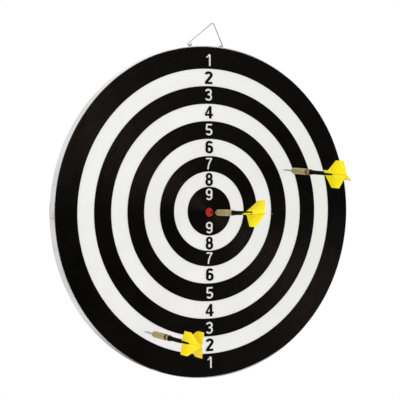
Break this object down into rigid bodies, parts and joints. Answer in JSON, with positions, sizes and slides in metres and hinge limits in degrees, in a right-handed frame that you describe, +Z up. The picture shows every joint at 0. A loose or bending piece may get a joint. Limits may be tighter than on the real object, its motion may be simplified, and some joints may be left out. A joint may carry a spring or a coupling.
{
  "type": "cork target",
  "caption": "Round cork target with flocked scoring rings round a red centre, a swinging wire hanger and steel-tipped darts that pull out of its face.",
  "frame": {"origin": "centre of the round back face, which lies on the wall", "axes": "the face looks towards -Y, the wall is on the +Y side and +Z is up, through the hanger"},
  "size_m": [0.3705, 0.1373, 0.3947],
  "materials": {
    "cork": "matte",
    "white_paper": "matte",
    "back_paper": "matte",
    "black_flock": "matte",
    "red_flock": "matte",
    "tape": "matte",
    "wire": "satin",
    "steel": "satin",
    "brass": "satin",
    "stem_plastic": "satin",
    "flight_plastic": "satin"
  },
  "bodies": {
    "board": {"pressed_cork_core": "cork", "face_sheet": "white_paper", "black_ring_1": "black_flock", "black_ring_3": "black_flock", "black_ring_5": "black_flock", "black_ring_7": "black_flock", "black_disc_9": "black_flock", "red_centre": "red_flock", "back_sheet": "back_paper", "rim_tape": "tape", "hanger_staple_left": "wire", "hanger_staple_right": "wire"},
    "hanger": {"hanger_bail": "wire"},
    "dart_1": {"dart_1_point": "steel", "dart_1_barrel": "brass", "dart_1_stem": "stem_plastic", "dart_1_flight": "flight_plastic"},
    "dart_2": {"dart_2_point": "steel", "dart_2_barrel": "brass", "dart_2_stem": "stem_plastic", "dart_2_flight": "flight_plastic"},
    "dart_3": {"dart_3_point": "steel", "dart_3_barrel": "brass", "dart_3_stem": "stem_plastic", "dart_3_flight": "flight_plastic"}
  },
  "joints": [
    {"name": "hanger_swing", "type": "hinge", "parent": "board", "child": "hanger", "pos_m": [0, -0.0065, 0.18515], "axis": [1, 0, 0], "range_deg": [-119, 61]},
    {"name": "dart_1_pull", "type": "slide", "parent": "board", "child": "dart_1", "axis": [0.0105, -0.9988, -0.048], "range_m": [0, 0.05]},
    {"name": "dart_2_pull", "type": "slide", "parent": "board", "child": "dart_2", "axis": [-0.0166, -0.9997, 0.0192], "range_m": [0, 0.05]},
    {"name": "dart_3_pull", "type": "slide", "parent": "board", "child": "dart_3", "axis": [0.0175, -0.9998, -0.0105], "range_m": [0, 0.05]}
  ]
}
